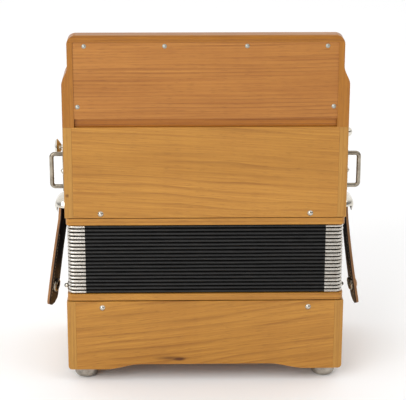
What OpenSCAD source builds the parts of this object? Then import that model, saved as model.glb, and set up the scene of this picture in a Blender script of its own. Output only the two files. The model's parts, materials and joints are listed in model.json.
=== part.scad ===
// One-row button accordion, standing on the feet of its bass end with the bellows closed.
// X runs along the keyboard, Y from the player's side to the grille side, Z up. Millimetres.
// The origin is on the floor, under the middle of the instrument.

/* [Boxes] */
// Width of both boxes, along the keyboard
box_w = 286; // [270:1:300]
// Depth of both boxes, from the player's side to the grille side
box_d = 160; // [150:1:175]
// Thickness of the side boards
side_t = 9; // [8:0.5:10]
// Thickness of the boards on the player's side and the grille side
board_t = 8; // [7:0.5:9]
// Height of the bass box
bass_h = 76; // [72:1:84]
// Height of the treble box
treble_h = 95; // [90:1:105]
// Height of the keyboard on top of the treble box
keyboard_h = 93; // [90:1:96]

/* [Feet] */
// Height of a domed foot
foot_h = 13; // [12:0.5:16]
// Radius of a domed foot
foot_r = 12.5; // [10:0.5:14]
// Rise of the arch along the bottom edge of the bass box
arch_rise = 5.5; // [4:0.5:8]

/* [Bellows] */
// Height of the closed bellows
bellows_h = 75; // [65:1:85]
// Number of folds
folds = 19; // [15:1:21]
// Height of a bellows frame rail
rail_h = 8; // [7:0.5:10]
// Length of a metal corner along the bellows
corner_w = 18; // [12:1:22]

/* [Keyboard] */
// Number of treble buttons
buttons = 10; // [8:1:10]
// Distance from one treble button to the next
button_pitch = 20; // [18:0.5:22]
// Radius of a button
button_r = 6; // [5:0.25:6.5]
// Depth of the flat top of the keyboard
top_d = 16; // [14:0.5:18]
// Thickness of the button board
button_board_t = 5; // [4:0.5:6]

/* [Side hardware] */
// Radius of the bar of a shoulder strap loop
wire_r = 2.2; // [1.8:0.1:2.4]
// Height of a strap loop between the centres of its arms
loop_h = 34; // [32:0.5:38]
// Reach of a strap loop from the side of the box to the centre of its outer bar
loop_reach = 12.5; // [11:0.5:16]
// Length of the free part of a bellows strap
strap_l = 99.3; // [94:0.1:104]
// Width of a bellows strap
strap_w = 25; // [22:1:28]
// Thickness of a bellows strap
strap_t = 3.5; // [3:0.5:4]
// Angle that an open bellows strap stands away from the side
strap_flare = 7.9; // [6.5:0.1:10]

/* [Hidden] */
$fn = 64;
eps = 0.01;

cherry = [0.76, 0.56, 0.31];
cherry_dark = [0.65, 0.42, 0.20];
spruce = [0.85, 0.75, 0.55];
nickel = [0.78, 0.76, 0.71];
aluminium = [0.80, 0.81, 0.82];
steel = [0.60, 0.61, 0.63];
pearl = [0.93, 0.91, 0.86];
cloth = [0.12, 0.12, 0.12];
leather = [0.30, 0.19, 0.11];

// Heights of the joints between the sections
bass_z = foot_h;
bass_top = bass_z + bass_h;
bellows_z = bass_top + rail_h;
bellows_top = bellows_z + bellows_h;
treble_z = bellows_top + rail_h;
treble_top = treble_z + treble_h;
top_z = treble_top + keyboard_h;

// Half sizes of the boxes, outside and inside
half_w = box_w / 2;
half_d = box_d / 2;
in_w = half_w - side_t;
in_d = half_d - board_t;
corner_r = 4;

// Arch along the bottom edge of the bass box
arch_out = 104.5;
arch_run = 37.5;

// End plate and action board of the bass box, and the posts in its corners
end_plate_z = bass_z + 17;
end_plate_t = 6;
bass_action_z = 62;
action_t = 6;
post_w = 24;
foot_x = half_w - 18;
foot_y = half_d - 19;
foot_flat_r = 7;

// Bellows frames: a visible rail, and a tongue inside the box
frame_in = 0.8;
seam = 1;
tongue_t = 5;
tongue_h = 11;
frame_w = 15;
frame_corner_r = 5;

// Bellows
bellows_in = 2;
bellows_gap = 0.3;
fold_depth = 6;
bellows_wall = 14;
cap_t = 0.6;

// Pins that hold the frames in the boxes
pin_x = 106.5;
pin_rise = 4.2;
pin_drop = 7;
pin_r = 1.25;
pin_head_r = 3;
pin_head_h = 1.6;
pin_l = 12;

// Keyboard: the outline narrows upwards in an S curve, and the button board leans back
neck_in = 6;
neck_z = treble_top + 43;
neck_run = 19;
top_corner_r = 9;
top_rail_t = 6.7;
cheek_in = 131.3;
base_rail_h = 8.7;
base_rail_y = -half_d + 3.5;
base_rail_d = 8;
cover_y = -half_d + 0.8;
cover_t = 4;
board_top = [-half_d + top_d, top_z];
board_foot = [-18, treble_top + 27];
lean = atan2(board_top[1] - board_foot[1], board_foot[0] - board_top[0]);
board_l = norm(board_top - board_foot);
along = [cos(lean), -sin(lean)];
outward = [sin(lean), cos(lean)];
button_row = (board_top + board_foot) / 2;
cheek_front_h = 6;
rail_under_z = top_z - top_rail_t;
rail_front_y = board_top[0] + top_rail_t / tan(lean);
cover_holes = [[-120, rail_under_z - 4], [-40.7, rail_under_z - 4], [40.7, rail_under_z - 4],
               [120, rail_under_z - 4], [-127.5, treble_top + 21], [127.5, treble_top + 21]];

// Action boards, reed blocks and keys
treble_action_z = treble_top - 19;
key_gap = 0.3;
pallet_y = 26;
pallet_w = 15;
pallet_l = 27;
pallet_t = 5.7;
port_w = 10;
port_l = 22;
lever_t = 2.4;
lever_w = 5;
arm_t = 5;
hub_r = 4;
axle_r = 1.5;
axle_fit = 0.05;
arm_depth = 9;
arm_drop = 55;
pivot = button_row - arm_depth * outward + arm_drop * along;
button_out = 6;
button_in = 8;
button_fit = 0.8;
block_h = 40;
block_half = 14;
reed_wall = 1.5;
chamber_w = 14;
plate_t = 1.5;

// Bass keys and the air key
bass_keys = 4;
bass_pitch = 20;
low_button_z = 19;
low_button_fit = 1.3;
low_port_l = 18;
bass_button_y = 48;
bass_pivot = [14, 46];
bass_pallet_y = -12;
bass_pallet_l = 26;
bass_block_h = 26;
air_x = -80;
air_button_y = -52;
air_pivot = [-20, 46];
air_pallet_y = 6;

// Grille
grille_t = 3;
grille_front = [half_d - 4, treble_top + cheek_front_h - 0.9];
grille_run = grille_front - board_foot;
grille_l = norm(grille_run);
grille_pitch = atan2(grille_run[1], grille_run[0]);
slots = 12;
slot_pitch = 20;
slot_w = 8;

// Loops for the shoulder straps: a bent bar on a base plate, with screws
loop_z = 227.5;
loop_y = -half_d + 12;
loop_bend_r = 3.4;
loop_plate = [1.2, 23, loop_h + 8];
loop_screws = [[7, -3, 3], [14.5, 11, 1.6], [14.5, -11, 1.6]];
screw_r = 3;

// Bellows straps, their holders and the studs that they snap onto
strap_y = -26;
strap_off = 5;
strap_tip_r = 8;
hinge_z = 165;
twist_left = 12;
twist_right = 9;
holder_z = 178.2;
holder_r = 12;
holder_run = 8;
holder_out = 13.2;
holder_wall = 1.2;
holder_slot = 10.7;
snap_l = 78;
snap_r = 6.2;
snap_ring_r = 7.2;
snap_ring_h = 3;
mate_z = 87;
mate_r = 9;

// Studs on the sides of the treble box
stud_y = -40;
disc_z = 243.5;
ball_z = 259;
ball_r = 5;
ball_out = 3.4;

// Hand strap under the bass end
hand_sag = 21.5;
hand_half = 90;
hand_t = 2.5;
hand_w = 60;
tab_l = 18;

// Extrudes a shape drawn in X and Z from y0 to y1
module along_y(y0, y1) {
    translate([0, y1, 0]) rotate([90, 0, 0]) linear_extrude(y1 - y0) children();
}

// Extrudes a shape drawn in Y and Z from x0 to x1
module along_x(x0, x1) {
    translate([x0, 0, 0]) rotate([90, 0, 90]) linear_extrude(x1 - x0) children();
}

// Draws its children twice, once mirrored to the other side of X = 0
module both_sides() {
    children();
    mirror([1, 0, 0]) children();
}

module block(low, high) {
    translate(low) cube(high - low);
}

// What rounding takes off the corner of a shape that fills the quarter above and right of 0
module corner_waste(r) {
    difference() {
        translate([-1, -1]) square(r + 1);
        translate([r, r]) circle(r);
    }
}

// Points of an S curve that rises from the origin to [run, rise], level at both ends
function s_curve(run, rise, steps = 16) =
    [for (k = [0 : steps]) [run * k / steps, rise * (1 - cos(180 * k / steps)) / 2]];

function mirrored(points) = [for (k = [len(points) - 1 : -1 : 0]) [-points[k][0], points[k][1]]];

// X position of button i of a row of n, where i counts from 1
function row_x(i, n, pitch) = (i - (n + 1) / 2) * pitch;

// --- Bass box ---------------------------------------------------------------------------

module bass_face_board() {
    arch = [for (p = s_curve(arch_run, arch_rise)) [p[0] - arch_out, p[1] + bass_z]];
    along_y(-half_d, -in_d)
        polygon(concat([[-in_w, bass_top], [-in_w, bass_z]], arch, mirrored(arch),
                       [[in_w, bass_z], [in_w, bass_top]]));
}

module pin_holes(z) {
    for (x = [-pin_x, pin_x])
        translate([x, 0, z]) rotate([90, 0, 0]) cylinder(r = pin_r, h = box_d + 2, center = true);
}

module bass_rear_board() {
    color(cherry) difference() {
        bass_face_board();
        pin_holes(bass_top - pin_drop);
    }
}

module bass_front_board() {
    color(cherry) difference() {
        mirror([0, 1, 0]) bass_face_board();
        pin_holes(bass_top - pin_drop);
    }
}

module bass_side_boards() {
    color(cherry) both_sides() along_y(-half_d, half_d) difference() {
        translate([in_w, bass_z]) square([side_t, bass_h]);
        translate([half_w, bass_z]) mirror([1, 0]) corner_waste(corner_r);
    }
}

module bass_corner_posts() {
    color(spruce) for (x = [-1, 1], y = [-1, 1])
        translate([x * (in_w - post_w / 2), y * (in_d - post_w / 2), (bass_z + end_plate_z) / 2])
            cube([post_w, post_w, end_plate_z - bass_z], center = true);
}

module bass_end_plate() {
    color(cherry_dark) difference() {
        block([-in_w, -in_d, end_plate_z], [in_w, in_d, end_plate_z + end_plate_t]);
        for (i = [1 : bass_keys])
            translate([row_x(i, bass_keys, bass_pitch), bass_button_y, end_plate_z - 1])
                cylinder(r = button_r + low_button_fit, h = end_plate_t + 2);
        translate([air_x, air_button_y, end_plate_z - 1])
            cylinder(r = button_r + low_button_fit, h = end_plate_t + 2);
    }
}

// An opening in an action board under the pallet of one key
module port(x, y, z, w, l) {
    translate([x - w / 2, y - l / 2, z - 1]) cube([w, l, action_t + 2]);
}

module bass_action_board() {
    color(spruce) difference() {
        block([-in_w, -in_d, bass_action_z], [in_w, in_d, bass_action_z + action_t]);
        for (i = [1 : bass_keys])
            port(row_x(i, bass_keys, bass_pitch), bass_pallet_y, bass_action_z, port_w, low_port_l);
        port(air_x, air_pallet_y, bass_action_z, port_w, low_port_l);
    }
}

// A block with a chamber on each side of a thin wall, for each of n reeds
module reed_block(n, pitch, y, z, h, chamber_z) {
    difference() {
        block([-(n * pitch) / 2, y - block_half, z], [(n * pitch) / 2, y + block_half, z + h]);
        for (i = [1 : n], side = [-1, 1])
            translate([row_x(i, n, pitch) - chamber_w / 2,
                       y + (side > 0 ? reed_wall : -block_half - 1), chamber_z])
                cube([chamber_w, block_half - reed_wall + 1, h - 5]);
    }
}

// A metal plate over each chamber, with a steel reed in its slot
module reed_plates(n, pitch, y, z, h) {
    for (i = [1 : n], side = [-1, 1])
        translate([row_x(i, n, pitch), y + side * (block_half + plate_t / 2), z]) {
            difference() {
                cube([chamber_w + 3, plate_t, h], center = true);
                translate([0, 0, -3]) cube([4, plate_t + 2, h - 12], center = true);
            }
            translate([0, side * (plate_t / 2 + 0.2), 0])
                cube([3.6, 0.4, h - 4], center = true);
        }
}

module bass_reed_block() {
    base = bass_action_z + action_t;
    color(spruce) reed_block(bass_keys, bass_pitch, bass_pallet_y, base, bass_block_h, base - 1);
}

module bass_reed_plates() {
    base = bass_action_z + action_t;
    color(aluminium) reed_plates(bass_keys, bass_pitch, bass_pallet_y,
                                 base + bass_block_h / 2, bass_block_h - 2);
}

module rod(y, z, half_l) {
    translate([-half_l, y, z]) rotate([0, 90, 0]) cylinder(r = axle_r, h = 2 * half_l);
}

module bass_lever_axles() {
    color(steel) {
        rod(bass_pivot[0], bass_pivot[1], in_w);
        rod(air_pivot[0], air_pivot[1], in_w);
    }
}

// Height of the underside of the hand strap at x, on an arc that sags to its lowest at 0
function hand_low(x) =
    let (r = (hand_half * hand_half + hand_sag * hand_sag) / (2 * hand_sag))
    end_plate_z - hand_t - hand_sag + r - sqrt(r * r - x * x);

module hand_strap() {
    steps = 24;
    tab_x = hand_half + tab_l;
    xs = [for (k = [-steps : steps]) hand_half * k / steps];
    color(leather) along_y(-hand_w / 2, hand_w / 2)
        polygon(concat([[-tab_x, end_plate_z], [-tab_x, end_plate_z - hand_t]],
                       [for (x = xs) [x, hand_low(x)]],
                       [[tab_x, end_plate_z - hand_t], [tab_x, end_plate_z]],
                       [for (k = [2 * steps : -1 : 0]) [xs[k], hand_low(xs[k]) + hand_t]]));
}

module hand_strap_anchors() {
    z = end_plate_z - hand_t;
    color(nickel) both_sides() {
        block([hand_half + 2, -hand_w / 2 - 4, z - 1.5], [hand_half + tab_l - 2, hand_w / 2 + 4, z]);
        for (y = [-1, 1]) {
            translate([hand_half + tab_l / 2, y * (hand_w / 2 - 6), z - 1.5])
                rotate([180, 0, 0]) dome(3, 1.6);
            translate([hand_half + tab_l / 2, y * (hand_w / 2 + 2), z])
                cylinder(r = 1.5, h = hand_t);
        }
    }
}

// A low dome that stands on the XY plane
module dome(r, h) {
    ball = (r * r + h * h) / (2 * h);
    rotate_extrude() intersection() {
        translate([0, h - ball]) circle(ball, $fn = 128);
        square([r, h]);
    }
}

module feet() {
    color(nickel) for (x = [-foot_x, foot_x], y = [-foot_y, foot_y])
        translate([x, y, 0]) rotate_extrude() {
            translate([0, foot_r - foot_flat_r]) square([foot_r, foot_h - foot_r + foot_flat_r]);
            square([foot_flat_r, foot_r - foot_flat_r + eps]);
            intersection() {
                translate([foot_flat_r, foot_r - foot_flat_r]) circle(foot_r - foot_flat_r);
                square([foot_r, foot_r - foot_flat_r + eps]);
            }
        }
}

// --- Bellows ----------------------------------------------------------------------------

module ring(w, d, t, h, r) {
    linear_extrude(h) difference() {
        rounded_rect(w, d, r);
        square([2 * (w - t), 2 * (d - t)], center = true);
    }
}

module rounded_rect(w, d, r) {
    difference() {
        square([2 * w, 2 * d], center = true);
        for (x = [0, 1], y = [0, 1])
            mirror([x, 0]) mirror([0, y]) translate([-w, -d]) corner_waste(r);
    }
}

// Rails round the bellows, with a tongue that fits into the box, standing on the XY plane
module frame_rails() {
    ring(half_w - frame_in, half_d - frame_in, frame_w, rail_h - seam, frame_corner_r);
    translate([0, 0, rail_h - seam - eps]) ring(in_w, in_d, tongue_t, tongue_h, 1);
}

module bass_bellows_frame() {
    color(cherry) difference() {
        translate([0, 0, bellows_z]) mirror([0, 0, 1]) frame_rails();
        pin_holes(bass_top - pin_drop);
    }
}

module treble_bellows_frame() {
    color(cherry) difference() {
        translate([0, 0, bellows_top]) frame_rails();
        pin_holes(treble_z + pin_rise);
    }
}

module pins(z) {
    color(nickel) for (x = [-pin_x, pin_x], turn = [0, 180])
        rotate([0, 0, turn]) translate([x, -half_d, z]) rotate([90, 0, 0]) {
            dome(pin_head_r, pin_head_h);
            translate([0, 0, -pin_l]) cylinder(r = pin_r, h = pin_l);
        }
}

module bass_pins() {
    pins(bass_top - pin_drop);
}

module treble_pins() {
    pins(treble_z + pin_rise);
}

module bellows() {
    h = bellows_h - bellows_gap;
    fold = h / folds;
    w = half_w - bellows_in;
    d = half_d - bellows_in;
    color(cloth) translate([0, 0, bellows_z]) difference() {
        union() {
            translate([-w + fold_depth, -d + fold_depth, 0])
                cube([2 * (w - fold_depth), 2 * (d - fold_depth), h]);
            for (i = [0 : folds - 1])
                translate([-w, -d, (i + 0.2) * fold]) cube([2 * w, 2 * d, 0.6 * fold]);
        }
        translate([-w + bellows_wall, -d + bellows_wall, -1])
            cube([2 * (w - bellows_wall), 2 * (d - bellows_wall), h + 2]);
    }
}

module bellows_corners() {
    fold = (bellows_h - bellows_gap) / folds;
    w = half_w - bellows_in;
    d = half_d - bellows_in;
    color(nickel) for (i = [0 : folds - 1], x = [0, 1], y = [0, 1])
        mirror([x, 0, 0]) mirror([0, y, 0])
            translate([w - corner_w, d - corner_w, bellows_z + (i + 0.2) * fold])
                difference() {
                    cube([corner_w + cap_t, corner_w + cap_t, 0.6 * fold]);
                    translate([-1, -1, -1]) cube([corner_w + 1, corner_w + 1, fold + 1]);
                }
}

// --- Treble box -------------------------------------------------------------------------

module treble_face_board() {
    block([-in_w, -half_d, treble_z], [in_w, -in_d, treble_top]);
}

module treble_rear_board() {
    color(cherry) difference() {
        treble_face_board();
        pin_holes(treble_z + pin_rise);
    }
}

module treble_front_board() {
    color(cherry) difference() {
        mirror([0, 1, 0]) treble_face_board();
        pin_holes(treble_z + pin_rise);
    }
}

module treble_side_boards() {
    color(cherry) both_sides() block([in_w, -half_d, treble_z], [half_w, half_d, treble_top]);
}

// Outline of the keyboard as the player sees it: its sides step in along an S curve
module neck_outline() {
    top_w = half_w - neck_in;
    side = concat([[half_w, treble_top]],
                  [for (p = s_curve(neck_run, neck_in)) [half_w - p[1], neck_z + p[0]]],
                  [[top_w, top_z]]);
    difference() {
        polygon(concat(side, mirrored(side)));
        for (x = [0, 1]) mirror([x, 0]) translate([top_w, top_z]) rotate(180)
            corner_waste(top_corner_r);
    }
}

module keyboard_cheeks() {
    profile = [[-half_d, treble_top], [half_d, treble_top],
               [half_d, treble_top + cheek_front_h], board_foot,
               [rail_front_y, rail_under_z], [-half_d, rail_under_z]];
    color(cherry) both_sides() difference() {
        intersection() {
            along_y(-half_d, half_d) neck_outline();
            along_x(cheek_in, half_w) polygon(profile);
        }
        rod(pivot[0], pivot[1], in_w);
    }
}

module keyboard_top_rail() {
    color(cherry) intersection() {
        along_y(-half_d, half_d) neck_outline();
        along_x(-half_w, half_w) difference() {
            polygon([[-half_d, rail_under_z], [rail_front_y, rail_under_z],
                     board_top, [-half_d, top_z]]);
            translate([-half_d, top_z]) mirror([0, 1]) corner_waste(3);
        }
    }
}

module keyboard_base_rail() {
    color(cherry_dark) block([-cheek_in, base_rail_y, treble_top],
                             [cheek_in, base_rail_y + base_rail_d, treble_top + base_rail_h]);
}

module keyboard_rear_cover() {
    color(cherry_dark) difference() {
        block([-cheek_in, cover_y, treble_top + base_rail_h],
              [cheek_in, cover_y + cover_t, rail_under_z]);
        for (p = cover_holes)
            translate([p[0], cover_y - 1, p[1]]) rotate([-90, 0, 0]) cylinder(r = 1.1, h = 6);
    }
}

module cover_screws() {
    color(nickel) for (p = cover_holes) translate([p[0], cover_y, p[1]]) rotate([90, 0, 0]) {
        dome(2.3, 1.1);
        translate([0, 0, -cover_t]) cylinder(r = 1.1, h = cover_t);
    }
}

// A point of the section through the button board: t along it, d deep into it
function board_point(t, d) = button_row + t * along - d * outward;

module button_board() {
    half = board_l / 2;
    color(cherry) difference() {
        along_x(-cheek_in, cheek_in) intersection() {
            polygon([board_point(-half, 0), board_point(half, 0),
                     board_point(half, button_board_t), board_point(-half - 5, button_board_t)]);
            translate([-half_d, treble_top]) square([box_d, rail_under_z - treble_top]);
        }
        for (i = [1 : buttons])
            translate([row_x(i, buttons, button_pitch), button_row[0], button_row[1]])
                rotate([-lean, 0, 0]) cylinder(r = button_r + button_fit, h = 30, center = true);
    }
}

module treble_action_board() {
    color(spruce) difference() {
        block([-in_w, -in_d, treble_action_z], [in_w, in_d, treble_action_z + action_t]);
        for (i = [1 : buttons])
            port(row_x(i, buttons, button_pitch), pallet_y, treble_action_z, port_w, port_l);
    }
}

module treble_reed_block() {
    z = treble_action_z - block_h;
    color(spruce) reed_block(buttons, button_pitch, pallet_y, z, block_h, z + 6);
}

module treble_reed_plates() {
    color(aluminium) reed_plates(buttons, button_pitch, pallet_y,
                                 treble_action_z - block_h / 2, block_h - 2);
}

module treble_lever_axle() {
    color(steel) rod(pivot[0], pivot[1], in_w);
}

// Each key has a wire spring coiled round the axle beside its hub
module treble_key_springs() {
    turns = 4;
    coil_r = 2.6;
    wire = 0.4;
    color(steel) for (i = [1 : buttons]) {
        x = row_x(i, buttons, button_pitch) + lever_w / 2 + 1.5;
        for (k = [0 : turns - 1])
            translate([x + k * 1.2, pivot[0], pivot[1]]) rotate([0, 90, 0])
                rotate_extrude() translate([coil_r, 0]) circle(wire, $fn = 24);
        translate([x + (turns - 1) * 1.2, pivot[0] - coil_r, treble_action_z + action_t])
            cylinder(r = wire, h = pivot[1] - treble_action_z - action_t - wire, $fn = 24);
    }
}

// A strip of thickness t that runs from point a to point b of the YZ plane
module strip(a, b, t) {
    turn = atan2(b[1] - a[1], b[0] - a[0]);
    translate(a) rotate(turn) translate([0, -t / 2]) square([norm(b - a), t]);
}

// A button, its lever with the hub on the axle, and the pallet on the other end
module treble_key(i) {
    x = row_x(i, buttons, button_pitch);
    pallet_z = treble_action_z + action_t + key_gap;
    arm_end = [pallet_y + 6, pallet_z + pallet_t];
    color(pearl) difference() {
        union() {
            translate([x, button_row[0], button_row[1]]) rotate([-lean, 0, 0]) {
                translate([0, 0, -button_in]) cylinder(r = button_r, h = button_in + button_out);
            }
            along_x(x - lever_t / 2, x + lever_t / 2) {
                strip(board_point(-4, arm_depth), pivot, arm_t);
                strip(pivot, arm_end, arm_t);
            }
            translate([x - lever_w / 2, pivot[0], pivot[1]]) rotate([0, 90, 0])
                cylinder(r = hub_r, h = lever_w);
            translate([x - pallet_w / 2, pallet_y - pallet_l / 2, pallet_z])
                cube([pallet_w, pallet_l, pallet_t]);
        }
        translate([x, pivot[0], pivot[1]]) rotate([0, 90, 0])
            cylinder(r = axle_r + axle_fit, h = 3 * lever_w, center = true);
    }
}

// A bass or air key: pressing the button up swings its pallet down, off the action board
module low_key(x, button_y, p, pad_y) {
    pallet_top = bass_action_z - key_gap;
    color(pearl) difference() {
        union() {
            translate([x, button_y, low_button_z]) cylinder(r = button_r, h = p[1] - low_button_z);
            along_x(x - lever_t / 2, x + lever_t / 2) {
                strip([button_y, p[1]], p, arm_t);
                strip(p, [pad_y, pallet_top - pallet_t], arm_t);
            }
            translate([x - lever_w / 2, p[0], p[1]]) rotate([0, 90, 0])
                cylinder(r = hub_r, h = lever_w);
            translate([x - pallet_w / 2, pad_y - bass_pallet_l / 2, pallet_top - pallet_t])
                cube([pallet_w, bass_pallet_l, pallet_t]);
        }
        translate([x, p[0], p[1]]) rotate([0, 90, 0])
            cylinder(r = axle_r + axle_fit, h = 3 * lever_w, center = true);
    }
}

module bass_key(i) {
    low_key(row_x(i, bass_keys, bass_pitch), bass_button_y, bass_pivot, bass_pallet_y);
}

module air_key() {
    low_key(air_x, air_button_y, air_pivot, air_pallet_y);
}

// --- Grille -----------------------------------------------------------------------------

// Moves a sheet that lies in XY onto the slope of the grille, its back edge on the X axis
module on_grille(depth) {
    translate([0, board_foot[0], board_foot[1]]) rotate([grille_pitch, 0, 0])
        translate([0, 0, -depth]) children();
}

module round_slot(l, w) {
    translate([-w / 2, -(l - w) / 2]) square([w, l - w]);
    for (end = [-1, 1]) translate([0, end * (l - w) / 2]) circle(w / 2);
}

module grille() {
    color(cherry) on_grille(grille_t + 0.5) linear_extrude(grille_t) difference() {
        translate([-cheek_in, 0]) square([2 * cheek_in, grille_l]);
        for (i = [1 : slots]) {
            translate([row_x(i, slots, slot_pitch), grille_l * 0.30]) round_slot(38, slot_w);
            translate([row_x(i, slots, slot_pitch), grille_l * 0.74]) round_slot(26, slot_w);
        }
        for (i = [1 : slots - 1])
            translate([row_x(i, slots - 1, slot_pitch), grille_l * 0.54]) circle(slot_w / 2);
    }
}

module grille_front_rail() {
    color(cherry) along_x(-cheek_in, cheek_in)
        polygon([[half_d - 4, treble_top], [half_d, treble_top],
                 [half_d, treble_top + cheek_front_h], [half_d - 4, grille_front[1] + 0.9]]);
}

module grille_cloth() {
    color(cloth) on_grille(grille_t + 1.2) translate([-cheek_in + 3, 3, 0])
        cube([2 * cheek_in - 6, grille_l - 6, 0.7]);
}

// --- Hardware on the sides --------------------------------------------------------------

// Half of a strap loop, drawn in X and Z with the side of the box at X = 0
module loop_half() {
    bar_end = loop_h / 2 - loop_bend_r;
    translate([loop_reach, 0, 0]) cylinder(r = wire_r, h = bar_end);
    translate([loop_reach - loop_bend_r, 0, bar_end]) rotate([90, 0, 0])
        rotate_extrude(angle = 90) translate([loop_bend_r, 0]) circle(wire_r);
    translate([0, 0, loop_h / 2]) rotate([0, 90, 0])
        cylinder(r = wire_r, h = loop_reach - loop_bend_r);
}

module strap_loops() {
    color(nickel) both_sides() translate([half_w, loop_y, loop_z]) {
        loop_half();
        mirror([0, 0, 1]) loop_half();
        translate([0, -wire_r - 1.8, -loop_plate[2] / 2]) cube(loop_plate);
    }
}

module loop_screws() {
    color(nickel) both_sides() for (s = loop_screws)
        translate([half_w + loop_plate[0], loop_y + s[0], loop_z + s[1]])
            rotate([0, 90, 0]) dome(screw_r, s[2]);
}

// Half section of a strap holder: r is its radius at the side board, and out its height
module holder_profile(r, out) {
    ball = (r * r + out * out) / (2 * out);
    intersection() {
        translate([0, out - ball]) circle(ball, $fn = 128);
        square([r, out]);
    }
}

// A long dome on the side of the box, round at both ends, reaching out along +X
module holder_solid(r, out) {
    for (end = [-1, 1]) translate([0, end * holder_run / 2, 0]) rotate([0, 90, 0])
        rotate_extrude() holder_profile(r, out);
    translate([0, holder_run / 2, 0]) rotate([90, 0, 0]) linear_extrude(holder_run)
        for (half = [0, 1]) mirror([0, half]) rotate(90) mirror([0, 1]) holder_profile(r, out);
}

// Each holder is a hollow dome, open below and behind the strap
module strap_holders() {
    reach_y = holder_r + holder_run;
    color(nickel) both_sides() translate([half_w, strap_y, holder_z]) difference() {
        holder_solid(holder_r, holder_out);
        translate([-eps, 0, 0]) holder_solid(holder_r - holder_wall, holder_out - holder_wall);
        translate([-1, -reach_y, -holder_r - 1]) cube([holder_slot + 1, 2 * reach_y, holder_r + 1]);
    }
}

// A bellows strap in its open position, a little twisted, with the snap near its end
module bellows_strap(twist) {
    translate([half_w + strap_off, strap_y, hinge_z]) rotate([0, -strap_flare, 0])
        rotate([0, 0, twist]) {
            color(leather) along_x(-strap_t / 2, strap_t / 2) difference() {
                translate([-strap_w / 2, -strap_l]) square([strap_w, strap_l]);
                translate([-strap_w / 2, -strap_l]) corner_waste(strap_tip_r);
                translate([strap_w / 2, -strap_l]) mirror([1, 0]) corner_waste(strap_tip_r);
            }
            color(nickel) {
                translate([strap_t / 2, 0, -snap_l]) rotate([0, 90, 0]) dome(snap_r, 2);
                translate([-strap_t / 2, 0, -snap_l]) rotate([0, -90, 0]) difference() {
                    cylinder(r = snap_ring_r, h = snap_ring_h);
                    translate([0, 0, -1]) cylinder(r = 4.6, h = snap_ring_h + 2);
                }
            }
        }
}

module bellows_strap_right() {
    bellows_strap(twist_right);
}

module bellows_strap_left() {
    mirror([1, 0, 0]) bellows_strap(twist_left);
}

module mate_studs() {
    color(nickel) both_sides() translate([half_w, strap_y, mate_z]) rotate([0, 90, 0]) {
        dome(mate_r, 3);
        translate([0, 0, 3.4]) sphere(r = 2.6);
    }
}

// A mushroom stud on the left side and a ball stud on the right
module side_studs() {
    color(nickel) {
        translate([-half_w, stud_y, disc_z]) rotate([0, -90, 0]) rotate_extrude()
            polygon([[0, 0], [4.5, 0], [3.2, 1.5], [3.2, 4], [8, 7.4], [9, 8.4], [8.4, 9.6],
                     [6.6, 10.4], [3.6, 10.9], [0, 11]]);
        translate([half_w, stud_y, ball_z]) rotate([0, 90, 0]) {
            rotate_extrude() intersection() {
                translate([0, ball_out]) circle(ball_r);
                square(ball_out + ball_r);
            }
        }
    }
}

bass_rear_board();
bass_front_board();
bass_side_boards();
bass_corner_posts();
bass_end_plate();
bass_action_board();
bass_reed_block();
bass_reed_plates();
bass_lever_axles();
hand_strap();
hand_strap_anchors();
feet();
bass_bellows_frame();
bass_pins();
mate_studs();
bellows();
bellows_corners();
treble_rear_board();
treble_front_board();
treble_side_boards();
keyboard_cheeks();
keyboard_top_rail();
keyboard_base_rail();
keyboard_rear_cover();
cover_screws();
button_board();
treble_action_board();
treble_reed_block();
treble_reed_plates();
treble_lever_axle();
treble_key_springs();
grille();
grille_front_rail();
grille_cloth();
treble_bellows_frame();
treble_pins();
strap_loops();
loop_screws();
strap_holders();
side_studs();
bellows_strap_left();
bellows_strap_right();
air_key();
for (i = [1 : buttons])
    treble_key(i);
for (i = [1 : bass_keys])
    bass_key(i);
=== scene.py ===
"""A one-row button accordion, seen from the player's side: looks built around the CAD frame."""

import math

import bmesh
import bpy
from mathutils import Matrix, Vector, noise
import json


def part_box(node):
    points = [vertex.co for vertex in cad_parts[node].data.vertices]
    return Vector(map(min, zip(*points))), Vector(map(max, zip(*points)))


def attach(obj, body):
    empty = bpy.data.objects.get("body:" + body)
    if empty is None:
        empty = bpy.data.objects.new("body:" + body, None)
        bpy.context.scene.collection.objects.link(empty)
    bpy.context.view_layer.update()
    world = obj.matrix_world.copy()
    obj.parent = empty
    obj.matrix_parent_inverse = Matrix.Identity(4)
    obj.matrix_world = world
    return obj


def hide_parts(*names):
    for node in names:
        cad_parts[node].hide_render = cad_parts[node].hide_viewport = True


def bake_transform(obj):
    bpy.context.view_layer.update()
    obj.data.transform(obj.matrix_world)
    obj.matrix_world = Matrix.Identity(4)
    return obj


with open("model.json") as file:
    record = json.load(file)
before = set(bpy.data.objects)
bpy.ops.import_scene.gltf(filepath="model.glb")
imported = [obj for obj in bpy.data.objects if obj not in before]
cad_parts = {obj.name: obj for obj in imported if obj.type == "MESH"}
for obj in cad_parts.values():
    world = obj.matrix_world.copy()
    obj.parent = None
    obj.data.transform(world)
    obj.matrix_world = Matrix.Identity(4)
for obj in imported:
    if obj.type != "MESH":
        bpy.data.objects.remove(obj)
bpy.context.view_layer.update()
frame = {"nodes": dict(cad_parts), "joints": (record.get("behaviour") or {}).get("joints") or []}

MM = 0.001
NODES = frame["nodes"]
PIVOTS = {j["child"]: Vector(j["pos_m"]) for j in frame["joints"] if j["type"] == "hinge"}


# --- Camera, light and floor ------------------------------------------------------------

IMAGE_WIDTH_PX = 406
SENSOR_MM = 36.0
FOCAL_LENGTH_PX = 1556.7
CAMERA_PLACE = Vector((-36.1, -1579.7, 682.0)) * MM
CAMERA_PITCH = math.radians(17.852)
CAMERA_YAW = math.radians(1.277)
CAMERA_ROLL = math.radians(0.117)
SKY_STRENGTH = 1.0
SKY_LEVELS = ((0.0, 0.22), (0.16, 0.34), (0.44, 1.08), (1.0, 1.12))
SKY_BACK = 0.5


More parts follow.
